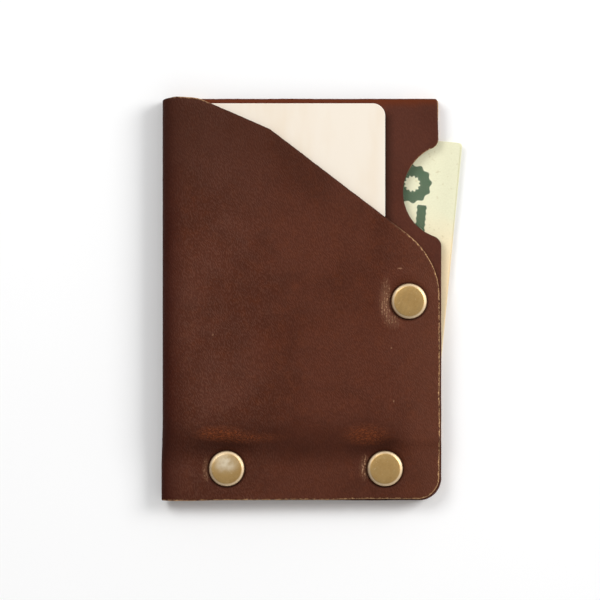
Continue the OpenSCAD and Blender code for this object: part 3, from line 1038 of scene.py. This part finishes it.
def card_plastic():
    """Cream card stock with a satin laminate."""
    n = Nodes("card_laminate", Specular_IOR_Level=0.4, Coat_Weight=0.12, Coat_Roughness=0.25)
    cloud = n.noise(1.0, 3.0, 0.6, n.stretched(90, 0.09, 0.025))
    colour = n.mix(n.between(cloud, 0.34, 0.64), srgb(238, 223, 202), srgb(242, 231, 215))
    # Painted highlight: the card is paler along its edges.
    edge = n.between(n.attribute("edge"), 0.2, 0.8, 0.0, 0.7)
    colour = n.mix(edge, colour, srgb(255, 252, 244))
    scuff = n.noise(1.0, 3.0, 0.6, n.stretched(50, 2.2, 0.06))
    peel = n.noise(1.6, 3.0, 0.6)
    return n.finish(Base_Color=colour, Roughness=n.between(scuff, 0.35, 0.65, 0.36, 0.46),
                    Normal=n.bump(peel, 0.012, 0.5))


# The note's print. Its places are measured across the note and along it from the fold
PRINT_BLUR = 0.12
MEDALLION_X = 11.4
MEDALLION_Y = 63.4
BAND_ENDS = (32.0, 58.2)
ROSETTE_Y = 38.0
ROSETTE = ((13.0, 18, 1.3), (9.4, 14, 1.1), (5.4, 10, 0.9))


def scalloped(n, spot, x, y, r, lobes, depth):
    """Distance outside a scalloped ring, negative inside it."""
    off = n.vector("SUBTRACT", spot, (x, y, 0))
    parts = n.axes(off)
    turn = n.times(n.math("ARCTAN2", parts["Y"], parts["X"]), lobes)
    edge = n.times_plus(n.math("SINE", turn), depth, r)
    return n.math("SUBTRACT", n.vector("LENGTH", off), edge)


def window(n, places, lows, highs):
    """1 inside a rectangle on the note."""
    inner = []
    for place, low, high in zip(places, lows, highs):
        inner.append(n.between(place, low, low + PRINT_BLUR))
        inner.append(n.between(place, high - PRINT_BLUR, high, 1.0, 0.0))
    return n.times(*inner)


def wavy_ground(n, across, along):
    """Fine crossing waves behind the print."""
    waves = []
    for sway in (5.0, -5.0):
        swing = n.times(n.math("SINE", n.times(across, 0.55)), sway)
        waves.append(n.between(n.math("SINE", n.times_plus(along, 5.2, swing)), 0.6, 0.95))
    inner = window(n, (across, along), (17.5, -9.0), (NOTE_W - 17.5, NOTE_L - 7.0))
    return n.times(n.most(*waves), inner)


def ornament(n, across, along):
    """The ink: a medallion and a band at each side, and a rosette of fine rings in the middle."""
    spot = n.add("ShaderNodeCombineXYZ", {"X": across, "Y": along}).outputs[0]
    inks = []
    for x in (MEDALLION_X, NOTE_W - MEDALLION_X):
        disc = n.between(scalloped(n, spot, x, MEDALLION_Y, 4.7, 12, 0.28), 0.0, 0.15, 1.0, 0.0)
        hole = n.between(scalloped(n, spot, x, MEDALLION_Y, 2.0, 12, -0.22), -0.15, 0.0)
        inks.append(n.times(disc, hole))
        middle = x + math.copysign(3.0, x - NOTE_W / 2)
        scallop = n.times(n.math("SINE", n.times(along, 4.4)), 0.12)
        aside = n.math("SUBTRACT", n.math("ABSOLUTE", n.plus(across, -middle)), scallop)
        ends = window(n, (across, along), (0.0, BAND_ENDS[0]), (NOTE_W, BAND_ENDS[1]))
        inks.append(n.times(n.between(aside, 1.1, 1.25, 1.0, 0.0), ends))
    for r, lobes, depth in ROSETTE:
        for wave in (depth, -depth):
            away = n.math("ABSOLUTE", scalloped(n, spot, NOTE_W / 2, ROSETTE_Y, r, lobes, wave))
            inks.append(n.between(away, 0.1, 0.19, 0.8, 0.0))
    worn_ink = n.between(n.noise(1.8, 4.0, 0.7), 0.3, 0.5, 0.86, 1.0)
    hatching = n.math("SINE", n.times(n.plus(along, across), 9.0))
    return n.times(n.most(*inks), worn_ink, n.between(hatching, -1.0, -0.3, 0.78, 1.0))


def note_paper():
    """Cotton paper with a printed ornament of rings, waves and a hatched band, and no lettering."""
    n = Nodes("note_paper", Specular_IOR_Level=0.25)
    c, t = math.cos(NOTE_TILT), math.sin(NOTE_TILT)
    moved = n.vector("SUBTRACT", n.mm, (NOTE_CORNER.x, NOTE_CORNER.y, 0))
    across = n.plus(n.vector("DOT_PRODUCT", moved, (c, -t, 0)), NOTE_W)
    along = n.plus(n.vector("DOT_PRODUCT", moved, (t, c, 0)), NOTE_L)
    fibres = n.noise(2.4, 4.0, 0.7)
    warm = n.between(n.times_plus(n.noise(0.12, 2.0), 8.0, along), 46.0, 62.0, 1.0, 0.0)
    colour = n.mix(warm, srgb(237, 235, 203), srgb(254, 232, 192))
    colour = n.mix(n.between(fibres, 0.35, 0.75, 0.0, 0.16), colour, srgb(196, 190, 150))
    colour = n.mix(n.times(wavy_ground(n, across, along), 0.25), colour, srgb(120, 146, 118))
    stains = n.between(n.noise(0.9, 3.0, 0.6), 0.62, 0.7, 0.0, 0.3)
    colour = n.mix(stains, colour, srgb(190, 172, 120))
    ink = ornament(n, across, along)
    green = n.mix(n.noise(0.8, 3.0), srgb(28, 68, 45), srgb(48, 90, 63))
    colour = n.mix(n.times(ink, 0.97), colour, green)
    edge = n.between(n.attribute("edge"), 0.3, 1.0, 0.0, 0.35)
    colour = n.mix(edge, colour, srgb(214, 196, 150))
    crumple = n.noise(0.5, 5.0, 0.65)
    height = n.plus(n.times(fibres, 0.25), crumple, n.times(ink, 0.12))
    return n.finish(Base_Color=colour, Roughness=n.between(fibres, 0.3, 0.7, 0.78, 0.9),
                    Normal=n.bump(height, 0.06, 0.5))


# ---- Putting it together ----

def settle(piece, body, slot, material, *nodes):
    """Gives a piece its material and its body, and hides the CAD nodes it stands for. slot is not used.
    """
    piece.data.materials.append(material)
    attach(piece, body)
    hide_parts(*nodes)


# The left cap's face has a painted pale highlight, and no cap sits quite level
CAP_HIGHLIGHT_SPOTS = [(left_rivet["x"] - 0.3, left_rivet["y"] + 1.6)]
CAP_TILTS = {"left": (0.022, 0.016), "right": (-0.006, 0.004), "side": (-0.004, 0.006)}

hide = leather("brown_pull_up_leather", worn=True)
inner_hide = leather("brown_divider_leather", worn=False)
antique = brass("antique_brass", srgb(201, 165, 107), srgb(150, 113, 62), 0.4, CAP_HIGHLIGHT_SPOTS)
plain = brass("plain_brass", srgb(206, 170, 98), srgb(140, 104, 56), 0.3)

settle(leather_wrap(), "wallet", "leather", hide, "leather_wrap")
settle(divider(), "wallet", "leather", inner_hide, "divider_panel")
settle(card_blank(), "card", "card", card_plastic(), "card")
settle(note_sheet(), "banknote", "paper", note_paper(), "banknote")
for spot in front_rivets:
    front_cap, back_cap = rivet_caps(spot, CAP_TILTS[spot["name"]])
    settle(front_cap, "wallet", "antique_brass", antique, spot["name"] + "_rivet_front_cap")
    settle(back_cap, "wallet", "antique_brass", antique, spot["name"] + "_rivet_back_cap")
    for part in ("socket", "post"):
        node = frame["nodes"][spot["name"] + "_rivet_" + part]
        node.data.materials.clear()
        node.data.materials.append(plain)


# ---- Stage, light and camera ----

FLOOR_REACH = 900


def floor():
    """A plain white table top."""
    corners = [(x * FLOOR_REACH, y * FLOOR_REACH, 0) for x, y in ((-1, -1), (1, -1), (1, 1), (-1, 1))]
    piece = make_mesh("table_top", corners, [(0, 1, 2, 3)])
    n = Nodes("white_table", Specular_IOR_Level=0.1)
    tone = n.mix(n.noise(0.01, 2.0), srgb(250, 250, 250), srgb(254, 254, 254))
    rough = n.between(n.noise(0.5), 0.3, 0.7, 0.85, 0.95)
    piece.data.materials.append(n.finish(Base_Color=tone, Roughness=rough))


def softbox(name, place, size, power):
    """A square area light that faces the wallet. Its place and size are in metres."""
    light = bpy.data.lights.new(name, "AREA")
    light.size, light.energy = size, power
    lamp = bpy.data.objects.new(name, light)
    bpy.context.collection.objects.link(lamp)
    lamp.location = place
    lamp.rotation_mode = "QUATERNION"
    lamp.rotation_quaternion = (-Vector(place)).to_track_quat("-Z", "Y")


def studio(zenith, sides):
    """A pale room. sides are the brightness low down at the left and at the right."""
    world = bpy.data.worlds.new("studio")
    world.use_nodes = True
    tree = world.node_tree
    way = tree.nodes.new("ShaderNodeSeparateXYZ")
    tree.links.new(tree.nodes.new("ShaderNodeTexCoord").outputs["Generated"], way.inputs[0])

    def fade(axis, low, high, start, end):
        node = tree.nodes.new("ShaderNodeMapRange")
        node.interpolation_type = "SMOOTHSTEP"
        tree.links.new(way.outputs[axis], node.inputs["Value"])
        for key, value in (("From Min", low), ("From Max", high), ("To Min", start), ("To Max", end)):
            if isinstance(value, float):
                node.inputs[key].default_value = value
            else:
                tree.links.new(value, node.inputs[key])
        return node.outputs["Result"]

    around = fade("X", -0.9, 0.6, *sides)
    tree.links.new(fade("Z", 0.1, 0.95, around, zenith), tree.nodes["Background"].inputs["Strength"])
    tree.nodes["Background"].inputs["Color"].default_value = (1, 1, 1, 1)
    bpy.context.scene.world = world


floor()
softbox("key", (0.8, 0.35, 0.62), size=0.5, power=6.8)
softbox("fill", (-0.5, 0.5, 0.85), size=0.5, power=4.8)
studio(zenith=0.4, sides=(0.1, 0.85))
bpy.context.scene.view_settings.view_transform = "Standard"

# A long lens, square above the wallet, in metres
VIEW_DISTANCE = 1.4
VIEW_WIDTH = 0.1536
VIEW_MIDDLE = (-0.0005, -0.0001)
camera = bpy.data.cameras.new("camera")
camera.lens = camera.sensor_width * VIEW_DISTANCE / VIEW_WIDTH
viewer = bpy.data.objects.new("camera", camera)
viewer.location = (*VIEW_MIDDLE, VIEW_DISTANCE + wrap_high.z * MM)
bpy.context.collection.objects.link(viewer)
bpy.context.scene.camera = viewer
